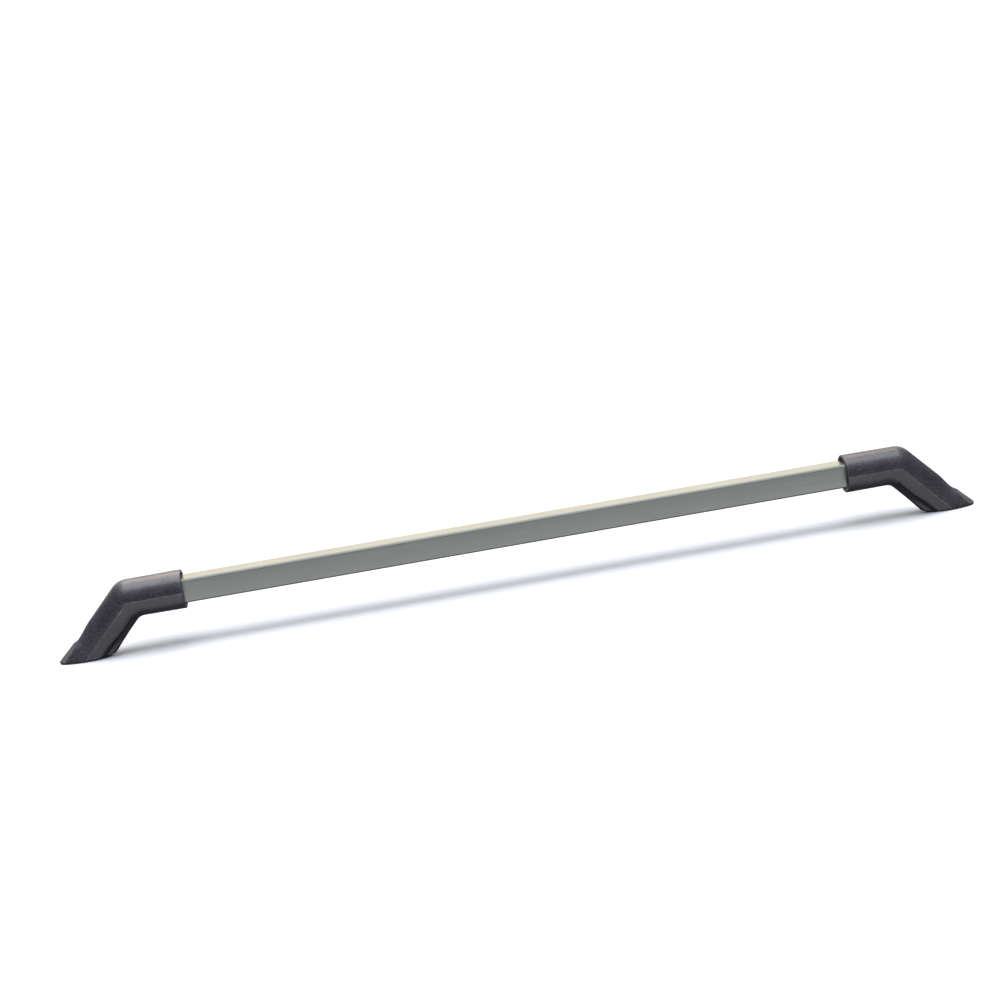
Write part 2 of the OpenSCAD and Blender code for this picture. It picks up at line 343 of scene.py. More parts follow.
def without_pinches(d):
    """Fills grid corners that meet only across a diagonal, so that no two sheets touch."""
    for _ in range(8):
        inside = d < 0
        fill = np.zeros(d.shape, bool)
        for axis in range(3):
            a = np.moveaxis(inside, axis, 0)
            f = np.moveaxis(fill, axis, 0)
            falling = a[:, :-1, :-1] & a[:, 1:, 1:] & ~a[:, 1:, :-1] & ~a[:, :-1, 1:]
            rising = a[:, 1:, :-1] & a[:, :-1, 1:] & ~a[:, :-1, :-1] & ~a[:, 1:, 1:]
            f[:, 1:, :-1] |= falling
            f[:, :-1, 1:] |= falling
            f[:, :-1, :-1] |= rising
            f[:, 1:, 1:] |= rising
        if not fill.any():
            break
        d = np.where(fill, -0.01, d)
    return d


CELL_CORNERS = [(i, j, k) for i in (0, 1) for j in (0, 1) for k in (0, 1)]


def at_corner(a, o):
    """The grid's values at the corner o of every cell."""
    cells = [n - 1 for n in a.shape]
    return a[o[0]:o[0] + cells[0], o[1]:o[1] + cells[1], o[2]:o[2] + cells[2]]


def crossing_points(d, mixed):
    """The mean place, in cells, where the surface crosses the edges of each mixed cell."""
    cell_ijk = np.argwhere(mixed)
    total = np.zeros((len(cell_ijk), 3))
    hits = np.zeros(len(cell_ijk))
    for o in CELL_CORNERS:
        for axis in range(3):
            if o[axis] == 1:
                continue
            p = tuple(o[a] + (1 if a == axis else 0) for a in range(3))
            d0 = at_corner(d, o)[mixed]
            d1 = at_corner(d, p)[mixed]
            crossing = (d0 < 0) != (d1 < 0)
            t = np.where(crossing, d0 / np.where(crossing, d0 - d1, 1.0), 0.0)
            point = np.tile(np.array(o, float), (len(t), 1))
            point[:, axis] += t
            total += point * crossing[:, None]
            hits += crossing
    return cell_ijk + total / hits[:, None]


def crossing_quads(inside, index, axis):
    """A quad round each grid edge along this axis that the surface crosses."""
    u, v = (axis + 1) % 3, (axis + 2) % 3
    near = [slice(None)] * 3
    far = [slice(None)] * 3
    near[axis] = slice(0, -1)
    far[axis] = slice(1, None)
    a, b = inside[tuple(near)], inside[tuple(far)]
    edges = np.argwhere(a != b)
    edges = edges[(edges[:, u] > 0) & (edges[:, u] < inside.shape[u] - 1)
                  & (edges[:, v] > 0) & (edges[:, v] < inside.shape[v] - 1)]
    leaving = a[tuple(edges.T)]
    ring = []
    for du, dv in ((1, 1), (0, 1), (0, 0), (1, 0)):
        cell = edges.copy()
        cell[:, u] -= du
        cell[:, v] -= dv
        ring.append(index[tuple(cell.T)])
    quads = np.stack(ring, 1)
    quads[~leaving] = quads[~leaving][:, ::-1]
    return quads


def surface_nets(field, low, high, step):
    """Quads on the zero surface of field, one vertex in each cell that it crosses."""
    levels = [l + step * np.arange(math.ceil((h - l) / step) + 1) for l, h in zip(low, high)]
    d = without_pinches(field(*np.meshgrid(*levels, indexing="ij")))
    inside = d < 0
    count = sum(at_corner(inside, o).astype(np.int8) for o in CELL_CORNERS)
    mixed = (count > 0) & (count < len(CELL_CORNERS))
    index = np.full(mixed.shape, -1, np.int64)
    index[mixed] = np.arange(mixed.sum())
    points = np.array(low) + step * crossing_points(d, mixed)
    return points, np.concatenate([crossing_quads(inside, index, axis) for axis in range(3)])


def gradient(field, p, h=0.02):
    """Slope of field at points p."""
    g = np.empty_like(p)
    for a in range(3):
        e = np.zeros(3)
        e[a] = h
        g[:, a] = (field(*(p + e).T) - field(*(p - e).T)) / (2 * h)
    return g


def settle(field, p, rounds=3, most=0.6):
    """Moves points onto the zero surface of field."""
    for _ in range(rounds):
        g = gradient(field, p)
        move = field(*p.T)[:, None] * g / np.maximum((g * g).sum(1), 0.05)[:, None]
        size = np.linalg.norm(move, axis=1, keepdims=True)
        p = p - move * np.minimum(1.0, most / np.maximum(size, 1e-9))
    return p


def relax(p, quads, amount=0.5):
    """Evens out the spacing of the vertices."""
    total = np.zeros_like(p)
    hits = np.zeros(len(p))
    for a, b in ((0, 1), (1, 2), (2, 3), (3, 0)):
        for i, j in ((quads[:, a], quads[:, b]), (quads[:, b], quads[:, a])):
            np.add.at(total, i, p[j])
            np.add.at(hits, i, 1)
    return p + amount * (total / np.maximum(hits, 1)[:, None] - p)


def mesh_object(name, points, faces):
    """A smooth-shaded mesh object from points in millimetres."""
    if isinstance(faces, np.ndarray):
        faces = faces.tolist()
    mesh = bpy.data.meshes.new(name)
    mesh.from_pydata((np.asarray(points) * MM).tolist(), [], faces)
    mesh.validate()
    mesh.update()
    mesh.polygons.foreach_set("use_smooth", [True] * len(mesh.polygons))
    obj = bpy.data.objects.new(name, mesh)
    bpy.context.scene.collection.objects.link(obj)
    return obj


FIT_STEP = 1.0  # size of the quads on a fitting
FIT_ROOM_LOW = (2.3, 1.7, 2.4)  # how far past the fitting its grid goes
FIT_ROOM_HIGH = (3.0, 2.0, 2.0)


def fitting_mesh():
    """Points and quads of the right-hand fitting."""
    low = np.array([MOUTH_X, -MOUTH_R, SOLE_Z]) - FIT_ROOM_LOW
    high = np.array([TOE_X, MOUTH_R, BAR_Z + MOUTH_R]) + FIT_ROOM_HIGH
    points, quads = surface_nets(fitting, low, high, FIT_STEP)
    points = settle(fitting, points)
    for _ in range(2):
        points = settle(fitting, relax(points, quads), rounds=2)
    return points, quads


# ---- Rings of points joined into a mesh ----

def ring_faces(rings, points, closed):
    """Quads between neighbouring rings; closed joins the last ring to the first."""
    faces = []
    for i in range(rings if closed else rings - 1):
        a = i * points
        b = (i + 1) % rings * points
        for j in range(points):
            k = (j + 1) % points
            faces.append((a + j, a + k, b + k, b + j))
    return faces


def ring_mesh(name, rings, closed=False, capped=False):
    """A mesh through a list of rings, each a list of the same number of points."""
    points = np.concatenate([np.asarray(r, float) for r in rings])
    count = len(rings[0])
    faces = ring_faces(len(rings), count, closed)
    if capped:
        faces.append(tuple(range(count))[::-1])
        faces.append(tuple(range(len(points) - count, len(points))))
    return mesh_object(name, points, faces)


def turned_ring(x, z, radius, count, lobes=None):
    """A level ring round the point x, with an optional change of radius with angle."""
    angle = 2 * math.pi * np.arange(count) / count
    r = radius + (lobes(angle) if lobes else 0.0)
    r = np.broadcast_to(r, angle.shape)
    return np.stack([x + r * np.cos(angle), r * np.sin(angle), np.full(count, z)], 1)


def outward(obj):
    """Turns every face of obj outwards."""
    mesh = bmesh.new()
    mesh.from_mesh(obj.data)
    bmesh.ops.recalc_face_normals(mesh, faces=mesh.faces)
    mesh.to_mesh(obj.data)
    mesh.free()
    return obj


def keep_edges_crisp(obj, angle=35.0):
    """Sharp shading over edges above the angle, smooth shading elsewhere."""
    obj.data.set_sharp_from_angle(angle=math.radians(angle))
    shading = obj.modifiers.new("even_shading", "WEIGHTED_NORMAL")
    shading.keep_sharp = True
    shading.weight = 90
    return obj


# ---- The bar ----

BAR_CHAMFER = 0.4
BAR_STATIONS = 50            # rings along the bar
CORNER_STEPS = 14            # faces round each of its corners
CUTTER_POINTS = 48
CUTTER_PAST = 1.0            # how far the hole cutters pass the wall


def square_outline(half, radius, steps):
    """A square with rounded corners as (y, z) points."""
    outline = []
    for quarter in range(4):
        start = quarter * math.pi / 2
        cy = (half - radius) * math.copysign(1, math.cos(start + math.pi / 4))
        cz = (half - radius) * math.copysign(1, math.sin(start + math.pi / 4))
        for i in range(steps + 1):
            a = start + math.pi / 2 * i / steps
            outline.append((cy + radius * math.cos(a), cz + radius * math.sin(a)))
    return np.array(outline)


def bar_ring(x, inset):
    """A ring of the bar's section at x; the inset brings it in from the full size."""
    yz = square_outline(BAR_HALF_W - inset, BAR_CORNER_R - inset, CORNER_STEPS)
    return np.column_stack([np.full(len(yz), x), yz[:, 0], yz[:, 1] + BAR_Z])


def drill(obj, cutter):
    """Cuts the cutter out of obj and removes the cutter."""
    cutting = obj.modifiers.new("drill", "BOOLEAN")
    cutting.operation = "DIFFERENCE"
    cutting.solver = "EXACT"
    cutting.object = cutter
    bpy.context.view_layer.update()
    shaped = obj.evaluated_get(bpy.context.evaluated_depsgraph_get())
    mesh = bpy.data.meshes.new_from_object(shaped)
    obj.modifiers.remove(cutting)
    old = obj.data
    obj.data = mesh
    mesh.name = obj.name
    bpy.data.meshes.remove(old)
    bpy.data.objects.remove(cutter)


def screw_hole_cutter():
    """Rods where the four tube screws pass through the bar's lower wall."""
    count = CUTTER_POINTS
    bottom = TUBE_LO[2] - CUTTER_PAST
    top = TUBE_LO[2] + BAR_WALL + CUTTER_PAST
    points = []
    faces = []
    for side in SIDES.values():
        for sx in SCREW_XS:
            first = len(points)
            for z in (bottom, top):
                points.extend(turned_ring(side * sx, z, SCREW_HOLE_R, count).tolist())
            faces.extend([tuple(first + i for i in face) for face in ring_faces(2, count, False)])
            faces.append(tuple(first + i for i in reversed(range(count))))
            faces.append(tuple(first + count + i for i in range(count)))
    return outward(mesh_object("screw_hole_cutter", points, faces))


def make_bar():
    """The square tube, open at both ends and drilled for the tube screws."""
    stations = np.linspace(-BAR_HALF_LEN + BAR_CHAMFER, BAR_HALF_LEN - BAR_CHAMFER, BAR_STATIONS)
    outside = [bar_ring(-BAR_HALF_LEN, BAR_CHAMFER)]
    outside += [bar_ring(x, 0.0) for x in stations]
    outside += [bar_ring(BAR_HALF_LEN, BAR_CHAMFER)]
    inside = [bar_ring(x, BAR_WALL) for x in (BAR_HALF_LEN, 0.0, -BAR_HALF_LEN)]
    bar = outward(ring_mesh("anodised_bar", outside + inside, closed=True))
    drill(bar, screw_hole_cutter())
    return keep_edges_crisp(bar)


# ---- Screws, washers and threaded inserts ----

THREAD_DEPTH = 0.55
THREAD_STEPS = 8             # rings to one turn of a thread
SCREW_POINTS = 48            # points in a ring of each piece
WASHER_POINTS = 64
INSERT_POINTS = 144
HEX_SOCKET = [(1.9, 1.2), (1.5, 4.0), (0.25, 4.0), (0.02, 4.5)]  # depth and width across flats
HEAD_FACE_R = 3.0            # flat face of a screw's head
HEAD_FACE_EDGE = 0.1
HEAD_DOME_H = 2.5
HEAD_DOME_STEPS = 8
HEAD_RIM = 0.15
NECK_LEN = 1.2               # plain neck under the head
NECK_FILLET = 0.2
NECK_TAPER = 0.8
NECK_UNDERCUT = 0.05
SCREW_ROOT_R = SCREW_R - 0.6
TIP_LEN = 0.6
TIP_RS = (SCREW_R - 0.9, 0.8)  # the tip's edge and its flat end
WASHER_SOFT = 0.2            # rounding of a washer's edges
KNURL_DEPTH = 0.35
KNURL_TEETH = 24
INSERT_ENDS = (0.5, 0.8)     # chamfers outside, at the bottom and the top
INSERT_GROOVE = (0.9, 1.2)   # half the groove between the knurled bands
INSERT_GROOVE_DEPTH = 0.7
INSERT_MOUTH = 0.6           # depth of the chamfer at each end of the bore
INSERT_MOUTH_WIDER = 0.7


def thread_wave(z, pitch, angle):
    """A rounded thread form from 0 at the root to 1 at the crest."""
    turn = (z / pitch - angle / (2 * math.pi)) % 1.0
    return np.clip(1.6 - 3.2 * np.abs(turn - 0.5), 0.0, 1.0)


def thread_lobes(z, pitch):
    """Change of radius with angle in a thread at the height z."""
    def radius(angle):
        return THREAD_DEPTH * thread_wave(z, pitch, angle)
    return radius


def thread_rings(x, start, end, radius, pitch, count):
    """Rings that follow a thread from start to end; radius is where it is narrowest."""
    steps = int(abs(end - start) / pitch * THREAD_STEPS)
    levels = [start + (end - start) * i / steps for i in range(steps + 1)]
    return [turned_ring(x, z, radius, count, thread_lobes(z, pitch)) for z in levels]


def hexagon(across):
    """Change of radius that turns a circle of radius 0 into a hexagon."""
    def radius(angle):
        turned = np.mod(angle, math.pi / 3) - math.pi / 6
        return across / 2 / np.cos(turned)
    return radius


def head_rings(x, bottom, head_r):
    """Rings of a button head, from the floor of its hexagon socket to its rim."""
    rings = [turned_ring(x, bottom + depth, 0.0, SCREW_POINTS, hexagon(across))
             for depth, across in HEX_SOCKET]
    rings.append(turned_ring(x, bottom, HEAD_FACE_R - HEAD_FACE_EDGE, SCREW_POINTS))
    for i in range(HEAD_DOME_STEPS + 1):
        a = math.pi / 2 * i / HEAD_DOME_STEPS
        r = HEAD_FACE_R + (head_r - HEAD_FACE_R) * math.sin(a)
        rings.append(turned_ring(x, bottom + HEAD_DOME_H * (1 - math.cos(a)), r, SCREW_POINTS))
    return rings


def make_screw(name, x):
    """A button-head screw, head down, with a hexagon socket and a rolled thread."""
    seat = WASHER_LO[2]
    tip = SCREW_HI[2]
    head_r = (SCREW_HI[0] - SCREW_LO[0]) / 2
    rings = head_rings(x, SCREW_LO[2], head_r)
    start = seat + NECK_LEN
    neck = [(seat - HEAD_RIM, head_r), (seat, head_r - HEAD_RIM), (seat, SCREW_R + NECK_FILLET),
            (start - NECK_TAPER, SCREW_R - NECK_UNDERCUT)]
    rings += [turned_ring(x, z, r, SCREW_POINTS) for z, r in neck]
    rings += thread_rings(x, start, tip - TIP_LEN, SCREW_ROOT_R, SCREW_PITCH, SCREW_POINTS)
    rings += [turned_ring(x, tip, r, SCREW_POINTS) for r in TIP_RS]
    return keep_edges_crisp(outward(ring_mesh(name, rings, capped=True)))


def make_washer(name, x):
    """A flat washer with a slight punched rounding on both edges."""
    low, high = WASHER_LO[2], WASHER_HI[2]
    outer = (WASHER_HI[0] - WASHER_LO[0]) / 2
    inner = SCREW_HOLE_R
    soft = WASHER_SOFT
    profile = [(inner + soft, low), (outer - 2 * soft, low), (outer - 0.5 * soft, low + 0.5 * soft),
               (outer, low + 2 * soft), (outer, high - soft), (outer - soft, high),
               (inner + soft, high), (inner, high - soft), (inner, low + soft)]
    rings = [turned_ring(x, z, r, WASHER_POINTS) for r, z in profile]
    return keep_edges_crisp(outward(ring_mesh(name, rings, closed=True)))


def knurl(angle):
    """Straight teeth round the insert."""
    return -KNURL_DEPTH * (0.5 - 0.5 * np.cos(angle * KNURL_TEETH))


def make_insert(name, x):
    """A brass insert: two knurled bands outside and a tapped hole inside."""
    low, high = TOE_LO[2], TOE_HI[2]
    middle = (low + high) / 2
    foot, lead = INSERT_ENDS
    floor, rim = INSERT_GROOVE
    deep = -INSERT_GROOVE_DEPTH
    bands = [(low, -foot, None), (low + foot, 0.0, knurl), (middle - rim, 0.0, knurl),
             (middle - floor, deep, None), (middle + floor, deep, None),
             (middle + rim, 0.0, knurl), (high - lead, 0.0, knurl), (high, -lead, None)]
    rings = [turned_ring(x, z, INSERT_R + step, INSERT_POINTS, teeth) for z, step, teeth in bands]
    rings.append(turned_ring(x, high, INSERT_BORE_R + INSERT_MOUTH_WIDER, INSERT_POINTS))
    rings += thread_rings(x, high - INSERT_MOUTH, low + INSERT_MOUTH, INSERT_BORE_R, INSERT_PITCH,
                          INSERT_POINTS)
    rings.append(turned_ring(x, low, INSERT_BORE_R + INSERT_MOUTH_WIDER, INSERT_POINTS))
    return keep_edges_crisp(outward(ring_mesh(name, rings, closed=True)))


# ---- Foot pads ----

def pad_shape(x, y, z):
    """A rubber oval with rounded edges, two bolt holes and grooves across its underside."""
    half_l = (PAD_HI[0] - PAD_LO[0]) / 2
    half_w = (PAD_HI[1] - PAD_LO[1]) / 2
    oval = ellipse(x - (PAD_LO[0] + PAD_HI[0]) / 2, y, half_l, half_w)
    pad = blend_max(oval, np.maximum(PAD_LO[2] - z, z - PAD_HI[2]), PAD_EDGE)
    for ix in INSERT_XS:
        pad = cut(pad, disc(x - ix, y, PAD_HOLE_R), INSERT_EDGE)
    clear = np.minimum.reduce([np.hypot(x - ix, y) - PAD_HOLE_R - GROOVE_CLEAR for ix in INSERT_XS])
    wave = np.abs((x - FOOT_X) / GROOVE_PITCH % 1.0 - 0.5) * GROOVE_PITCH - GROOVE_HALF_W
    groove = np.maximum.reduce([wave, oval + GROOVE_RIM, -clear, z - PAD_LO[2] - GROOVE_DEPTH])
    return cut(pad, groove, GROOVE_EDGE)


def pad_mesh():
    """Points and quads of the right-hand pad."""
    low = PAD_LO - PAD_ROOM
    high = PAD_HI + PAD_ROOM
    points, quads = surface_nets(pad_shape, low, high, PAD_STEP)
    for _ in range(2):
        points = settle(pad_shape, relax(points, quads, amount=0.3), rounds=2, most=0.2)
    return points, quads


# ---- Nodes ----

def connect(tree, node, inputs):
    """Gives a node its inputs, each a socket or a plain value."""
    for key, value in inputs.items():
        if isinstance(value, bpy.types.NodeSocket):
            tree.links.new(value, node.inputs[key])
        else:
            node.inputs[key].default_value = value


def add(tree, kind, inputs, **settings):
    """A new shader node of this kind with its settings and its inputs."""
    node = tree.nodes.new("ShaderNode" + kind)
    for key, value in settings.items():
        setattr(node, key, value)
    connect(tree, node, inputs)
    return node


def axes(tree, vector):
    """The x, y and z of a vector."""
    return add(tree, "SeparateXYZ", {"Vector": vector}).outputs[:3]


def red_of(tree, colour):
    """The red part of a colour, used as a number picked at random."""
    return add(tree, "SeparateColor", {"Color": colour}).outputs["Red"]


def stretched(tree, coords, scale):
    """Coordinates with their own scale on each axis."""
    return add(tree, "Mapping", {"Vector": coords, "Scale": scale}).outputs["Vector"]


def noise(tree, coords, size, detail=3.0, roughness=0.55):
    """Noise whose blotches are about size metres across."""
    inputs = {"Vector": coords, "Scale": 1.0 / size, "Detail": detail, "Roughness": roughness}
    return add(tree, "TexNoise", inputs).outputs["Fac"]


def spots(tree, coords, size):
    """Cells round scattered points that are about size metres apart."""
    return add(tree, "TexVoronoi", {"Vector": coords, "Scale": 1.0 / size}).outputs


def ramp(tree, value, stops):
    """Colours along a value; stops are (position, (r, g, b))."""
    node = add(tree, "ValToRGB", {"Fac": value})
    elements = node.color_ramp.elements
    while len(elements) < len(stops):
        elements.new(0.5)
    for element, (position, colour) in zip(elements, stops):
        element.position = position
        element.color = (*colour, 1.0)
    return node.outputs["Color"]


def spread(tree, value, from_low, from_high, to_low=0.0, to_high=1.0):
    """Maps a value from one range to another and holds it there."""
    inputs = {"Value": value, "From Min": from_low, "From Max": from_high,
              "To Min": to_low, "To Max": to_high}
    return add(tree, "MapRange", inputs).outputs["Result"]


def combine(tree, operation, a, b):
    """Arithmetic on two values, each a socket or a number."""
    return add(tree, "Math", {0: a, 1: b}, operation=operation).outputs["Value"]


def times(tree, a, b):
    """The product of two values, each a socket or a number."""
    return combine(tree, "MULTIPLY", a, b)


def size_of(tree, value):
    """A value without its sign."""
    return combine(tree, "ABSOLUTE", value, 0.0)


def weighted(tree, terms, offset):
    """Sum of (value, weight) terms and an offset."""
    total = offset
    for value, weight in terms:
        total = combine(tree, "ADD", times(tree, value, weight), total)
    return total


def mix(tree, factor, a, b, blend="MIX"):
    """Mixes two colours, each a socket or (r, g, b)."""
    first, second = [(*c, 1.0) if isinstance(c, tuple) else c for c in (a, b)]
    inputs = {"Factor": factor, "A": first, "B": second}
    return add(tree, "Mix", inputs, data_type="RGBA", blend_type=blend).outputs["Result"]


def choose(tree, factor, shader, other):
    """The first shader where factor is 0, the other where it is 1."""
    return add(tree, "MixShader", {0: factor, 1: shader, 2: other}).outputs["Shader"]


def bump(tree, shader, *layers):
    """Adds surface relief; each layer is (height socket, depth in metres)."""
    below = {}
    for height, depth in layers:
        inputs = {"Strength": 1.0, "Distance": depth, "Height": height, **below}
        below = {"Normal": add(tree, "Bump", inputs).outputs["Normal"]}
    connect(tree, shader, below)


def new_material(name):
    """A node material: its tree, its surface shader and its object coordinates."""
    material = bpy.data.materials.new(name)
    material.use_nodes = True
    tree = material.node_tree
    coords = add(tree, "TexCoord", {}).outputs["Object"]
    return material, tree, tree.nodes["Principled BSDF"], coords


# ---- Places on a fitting, for its material ----

def fitting_axes(tree, coords):
    """Distance from the middle of the bar, distance from its centre plane, and height."""
    x, y, z = axes(tree, coords)
    return size_of(tree, x), size_of(tree, y), z


def across_leg(tree, along, up):
    """Distance in metres to the outer side of the leg's centre line."""
    return weighted(tree, [(along, LEG_SIN), (up, LEG_COS)],
                    -(ELBOW_X * LEG_SIN + BAR_Z * LEG_COS) * MM)


def down_leg(tree, along, up):
    """Distance in metres down the leg from the elbow."""
    return weighted(tree, [(along, LEG_COS), (up, -LEG_SIN)],
                    -(ELBOW_X * LEG_COS - BAR_Z * LEG_SIN) * MM)


def parting_line(tree, coords):
    """1 along the mould's parting line on the outside of a fitting, 0 elsewhere."""
    along, aside, up = fitting_axes(tree, coords)
    above = combine(tree, "MAXIMUM", combine(tree, "SUBTRACT", up, BAR_Z * MM),
                    across_leg(tree, along, up))
    outside = spread(tree, aside, 0.012, 0.014)
    broken = spread(tree, noise(tree, coords, 0.007, 3.0, 0.6), 0.35, 0.65, 0.15, 1.0)
    line = spread(tree, size_of(tree, above), 0.0002, 0.0012, 1.0, 0.0)
    return times(tree, outside, times(tree, line, broken))


def inside_recess(tree, coords):
    """1 on the walls of the recesses beside the leg's rib, 0 elsewhere."""
    along, aside, up = fitting_axes(tree, coords)
    inner = spread(tree, across_leg(tree, along, up), -(RECESS_LIP_N - 0.8) * MM,
                   -RECESS_LIP_N * MM)
    beside = spread(tree, aside, (RIB_HALF - 1.2) * MM, (RIB_HALF - 0.2) * MM)
    below = spread(tree, down_leg(tree, along, up), (RECESS_TOP_S - 2.0) * MM,
                   (RECESS_TOP_S + 2.0) * MM)
    return times(tree, times(tree, inner, beside), below)


def on_shoe(tree, coords):
    """Rises to 1 down the leg to the shoe."""
    along, _, up = fitting_axes(tree, coords)
    return spread(tree, down_leg(tree, along, up), 0.055, 0.110)


def on_toe_facets(tree, coords):
    """1 on the two flat faces of the toe, 0 elsewhere."""
    along, aside, up = fitting_axes(tree, coords)
    level = weighted(tree, [(along, FACET_OUT), (aside, FACET_ASIDE), (up, FACET_UP)],
                     -(TOE_X * FACET_OUT + SOLE_Z * FACET_UP + TOE_ROUNDING) * MM)
    runout = combine(tree, "SUBTRACT", (LEG_LEN + SOCKET_R) * MM, down_leg(tree, along, up))
    off_facet = combine(tree, "SUBTRACT", level, times(tree, runout, FACET_RUNOUT))
    near_toe = spread(tree, down_leg(tree, along, up), 0.085, 0.095)
    return times(tree, spread(tree, off_facet, -0.0005, -0.0002), near_toe)


def open_to_sky(tree):
    """1 where the surface is open to the light, 0 in its crevices."""
    shaded = add(tree, "AmbientOcclusion", {"Distance": 0.025}, only_local=True)
    return spread(tree, shaded.outputs["AO"], 0.15, 0.75)


# ---- Materials ----

CHARCOAL = [(0.30, (0.030, 0.0275, 0.034)), (0.50, (0.037, 0.0340, 0.042)),
            (0.72, (0.050, 0.0455, 0.055))]
GRAIN_TONES = [(0.32, (0.35, 0.35, 0.35)), (0.68, (1.70, 1.70, 1.72))]
SHOE_PAINTED_LIGHT = (0.062, 0.057, 0.066)
SCUFF = (0.190, 0.182, 0.196)
FLECK = (0.34, 0.34, 0.37)
WORN_EDGE_AND_PARTING_HIGHLIGHT = (0.190, 0.180, 0.192)
TOE_PAINTED_HIGHLIGHT = (0.185, 0.158, 0.158)
RECESS_PAINTED_SHADE = (0.012, 0.011, 0.014)
CREVICE_PAINTED_SHADE = (0.012, 0.011, 0.013)
ALUMINIUM_LINES = [(0.30, (0.54, 0.565, 0.53)), (0.70, (0.68, 0.70, 0.665))]
ALUMINIUM_BANDS = [(0.30, (0.56, 0.585, 0.55)), (0.70, (0.66, 0.685, 0.65))]
ALUMINIUM_CLOUD = (0.60, 0.60, 0.555)
RUBBER = [(0.35, (0.030, 0.029, 0.030)), (0.75, (0.055, 0.053, 0.051))]
NYLON = [(0.3, (0.020, 0.020, 0.021)), (0.7, (0.034, 0.034, 0.036))]
ZINC_TONES = [(0.30, (0.48, 0.50, 0.50)), (0.70, (0.66, 0.67, 0.64))]
SCREW_TONES = [(0.30, (0.55, 0.55, 0.54)), (0.70, (0.74, 0.73, 0.71))]
BRASS_TONES = [(0.30, (0.58, 0.40, 0.17)), (0.70, (0.80, 0.60, 0.28))]


def grained_charcoal(tree, coords, blotch, grain):
    """The moulding's own colour, painted lighter on the shoe for the light the foot catches, and
    broken up by its grain.
    """
    shoe_lit = mix(tree, on_shoe(tree, coords), ramp(tree, blotch, CHARCOAL), SHOE_PAINTED_LIGHT)
    return mix(tree, 1.0, shoe_lit, ramp(tree, grain, GRAIN_TONES), "MULTIPLY")


def scuffed(tree, coords, colour):
    """Pale scuffs, longer up and down than across."""
    marks = noise(tree, stretched(tree, coords, (1.0, 1.0, 0.35)), 0.0045, 5.0, 0.65)
    return mix(tree, spread(tree, marks, 0.62, 0.80, 0.0, 0.55), colour, SCUFF)


def flecked(tree, coords, colour):
    """A few small pale flecks."""
    cells = spots(tree, coords, 0.0075)
    here = spread(tree, cells["Distance"], 0.05, 0.11, 1.0, 0.0)
    chosen = spread(tree, red_of(tree, cells["Color"]), 0.80, 0.82, 0.0, 0.75)
    return mix(tree, times(tree, here, chosen), colour, FLECK)


def worn_and_parting_highlight(tree, coords, colour, blotch):
    """Edges that are paler in places from wear, and a parting line painted pale as a highlight on a
    bead too fine for the mesh.
    """
    convex = add(tree, "NewGeometry", {}).outputs["Pointiness"]
    edge = combine(tree, "MAXIMUM", spread(tree, convex, 0.515, 0.575, 0.0, 0.6),
                   parting_line(tree, coords))
    patches = spread(tree, blotch, 0.40, 0.60, 0.35, 1.0)
    return mix(tree, times(tree, edge, patches), colour, WORN_EDGE_AND_PARTING_HIGHLIGHT)


def toe_painted_highlight(tree, coords, colour, grain):
    """The toe's flat faces painted pale as a highlight, most on the high spots of the grain."""
    high_spots = spread(tree, grain, 0.30, 0.70, 0.35, 0.95)
    return mix(tree, times(tree, high_spots, on_toe_facets(tree, coords)), colour, TOE_PAINTED_HIGHLIGHT)


def moulded_plastic():
    """Charcoal moulded plastic: faint blotches, a fine grain, pale scuffs and flecks."""
    material, tree, shader, coords = new_material("moulded_charcoal_plastic")
    blotch = noise(tree, coords, 0.030, 4.0, 0.6)
    grain = noise(tree, coords, 0.0022, 2.0, 0.7)
    recess = inside_recess(tree, coords)
    open_sky = open_to_sky(tree)
    # Painted light: the shoe is painted lighter than the rest of the moulding.
    colour = grained_charcoal(tree, coords, blotch, grain)
    colour = scuffed(tree, coords, colour)
    colour = flecked(tree, coords, colour)
    # Pale worn edges, and a painted highlight along the parting line.
    colour = worn_and_parting_highlight(tree, coords, colour, blotch)
    # Painted highlight on the toe's flat faces.
    colour = toe_painted_highlight(tree, coords, colour, grain)
    # Painted shade: the walls of the recesses beside the rib are painted near black, and their
    # specular level is lowered, for the shade under the recess lip.
    colour = mix(tree, times(tree, recess, 0.85), colour, RECESS_PAINTED_SHADE)
    gloss = spread(tree, grain, 0.25, 0.75, 0.29, 0.42)
    dull = times(tree, combine(tree, "SUBTRACT", 1.0, open_sky), 0.5)
    # Painted shade: the base colour is darkened towards near black where ambient occlusion finds
    # crevices and hollows.
    connect(tree, shader, {
        "Base Color": mix(tree, open_sky, CREVICE_PAINTED_SHADE, colour),
        "Roughness": combine(tree, "MAXIMUM", gloss, combine(tree, "ADD", dull, 0.31)),
        "Specular IOR Level": spread(tree, recess, 0.0, 1.0, 0.5, 0.2)})
    bump(tree, shader, (grain, 0.00012), (blotch, 0.00025))
    return material


